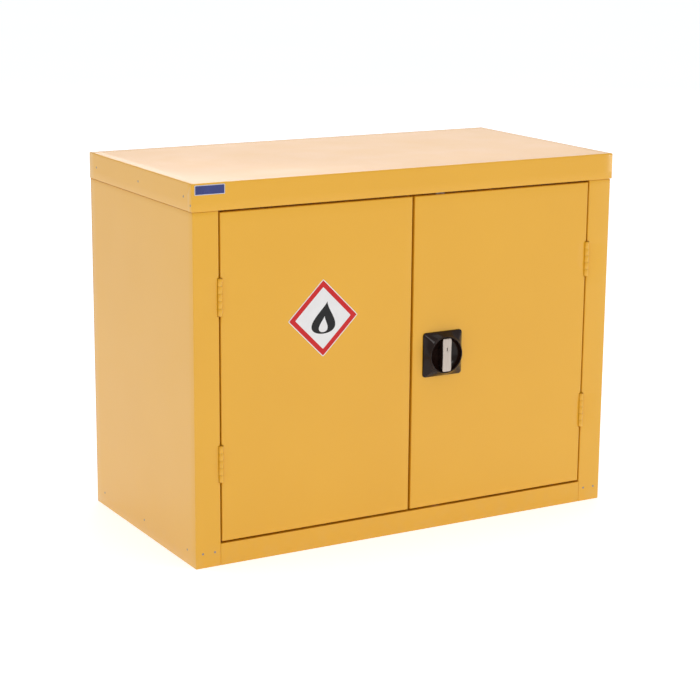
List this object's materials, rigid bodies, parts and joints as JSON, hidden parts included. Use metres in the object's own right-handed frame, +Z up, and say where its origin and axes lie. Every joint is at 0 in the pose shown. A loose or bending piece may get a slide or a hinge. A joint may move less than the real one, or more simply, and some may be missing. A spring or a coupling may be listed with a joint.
{
  "type": "flammable storage cabinet",
  "caption": "Low two-door sheet-steel cabinet for flammable liquids, with a folded lid, butt hinges, a recessed turning grip lock driving two rods, a sump tray and a shelf tray.",
  "frame": {"origin": "on the floor, under the middle of the overall box with the lock's grip included", "axes": "+X to the right as seen from the front, +Y from the doors to the back, +Z up"},
  "size_m": [0.9008, 0.478, 0.7],
  "materials": {
    "yellow_paint": "gloss powder coat",
    "black_plastic": "moulded, glossy",
    "satin_nickel": "satin nickel plate",
    "zinc_plated_steel": "zinc plate",
    "blue_badge": "printed film",
    "hazard_label": "printed vinyl film",
    "rubber": "matt"
  },
  "bodies": {
    "cabinet": {"top_panel": "yellow_paint", "left_side_panel": "yellow_paint", "right_side_panel": "yellow_paint", "back_panel": "yellow_paint", "base_tray": "yellow_paint", "header_rail": "yellow_paint", "door_stop_strip": "yellow_paint", "sump_tray": "yellow_paint", "shelf_tray": "yellow_paint", "left_front_upright": "zinc_plated_steel", "left_front_shelf_clip": "zinc_plated_steel", "left_rear_upright": "zinc_plated_steel", "left_rear_shelf_clip": "zinc_plated_steel", "right_front_upright": "zinc_plated_steel", "right_front_shelf_clip": "zinc_plated_steel", "right_rear_upright": "zinc_plated_steel", "right_rear_shelf_clip": "zinc_plated_steel", "left_lower_hinge_frame_leaf": "yellow_paint", "left_lower_hinge_pin": "yellow_paint", "left_upper_hinge_frame_leaf": "yellow_paint", "left_upper_hinge_pin": "yellow_paint", "right_lower_hinge_frame_leaf": "yellow_paint", "right_lower_hinge_pin": "yellow_paint", "right_upper_hinge_frame_leaf": "yellow_paint", "right_upper_hinge_pin": "yellow_paint", "name_badge": "blue_badge", "door_buffers": "rubber", "lid_rivets": "zinc_plated_steel", "side_rivets": "zinc_plated_steel", "stile_rivets": "zinc_plated_steel", "back_rivets": "zinc_plated_steel"},
    "left_door": {"left_door_panel": "yellow_paint", "left_door_stiffener": "yellow_paint", "hazard_label": "hazard_label", "left_lower_hinge_door_leaf": "yellow_paint", "left_upper_hinge_door_leaf": "yellow_paint"},
    "right_door": {"right_door_panel": "yellow_paint", "right_door_stiffener": "yellow_paint", "right_lower_hinge_door_leaf": "yellow_paint", "right_upper_hinge_door_leaf": "yellow_paint", "lock_escutcheon": "black_plastic", "escutcheon_screws": "zinc_plated_steel", "lock_body": "zinc_plated_steel", "upper_rod_guide": "zinc_plated_steel", "lower_rod_guide": "zinc_plated_steel"},
    "handle": {"lock_grip": "black_plastic", "lock_grip_plate": "satin_nickel", "lock_spindle": "zinc_plated_steel", "lock_cam": "zinc_plated_steel", "cam_screw": "zinc_plated_steel"},
    "key_barrel": {"key_barrel": "satin_nickel"},
    "upper_rod": {"upper_lock_rod": "zinc_plated_steel"},
    "lower_rod": {"lower_lock_rod": "zinc_plated_steel"}
  },
  "joints": [
    {"name": "left_door_hinge", "type": "hinge", "parent": "cabinet", "child": "left_door", "pos_m": [-0.3965, -0.22, 0.3435], "axis": [0, 0, -1], "range_deg": [0, 165]},
    {"name": "right_door_hinge", "type": "hinge", "parent": "cabinet", "child": "right_door", "pos_m": [0.3965, -0.22, 0.3435], "axis": [0, 0, 1], "range_deg": [0, 165]},
    {"name": "handle_turn", "type": "hinge", "parent": "right_door", "child": "handle", "pos_m": [0.067, -0.22, 0.3435], "axis": [0, 1, 0], "range_deg": [0, 90]},
    {"name": "key_turn", "type": "hinge", "parent": "handle", "child": "key_barrel", "pos_m": [0.067, -0.23, 0.3545], "axis": [0, 1, 0], "range_deg": [0, 90]},
    {"name": "upper_rod_slide", "type": "slide", "parent": "right_door", "child": "upper_rod", "axis": [0, 0, -1], "range_m": [0, 0.017]},
    {"name": "lower_rod_slide", "type": "slide", "parent": "right_door", "child": "lower_rod", "axis": [0, 0, 1], "range_m": [0, 0.017]}
  ],
  "couplings": [
    {"joint": "upper_rod_slide", "follows": "handle_turn", "m_per_rad": 0.010803},
    {"joint": "lower_rod_slide", "follows": "handle_turn", "m_per_rad": 0.010803}
  ]
}
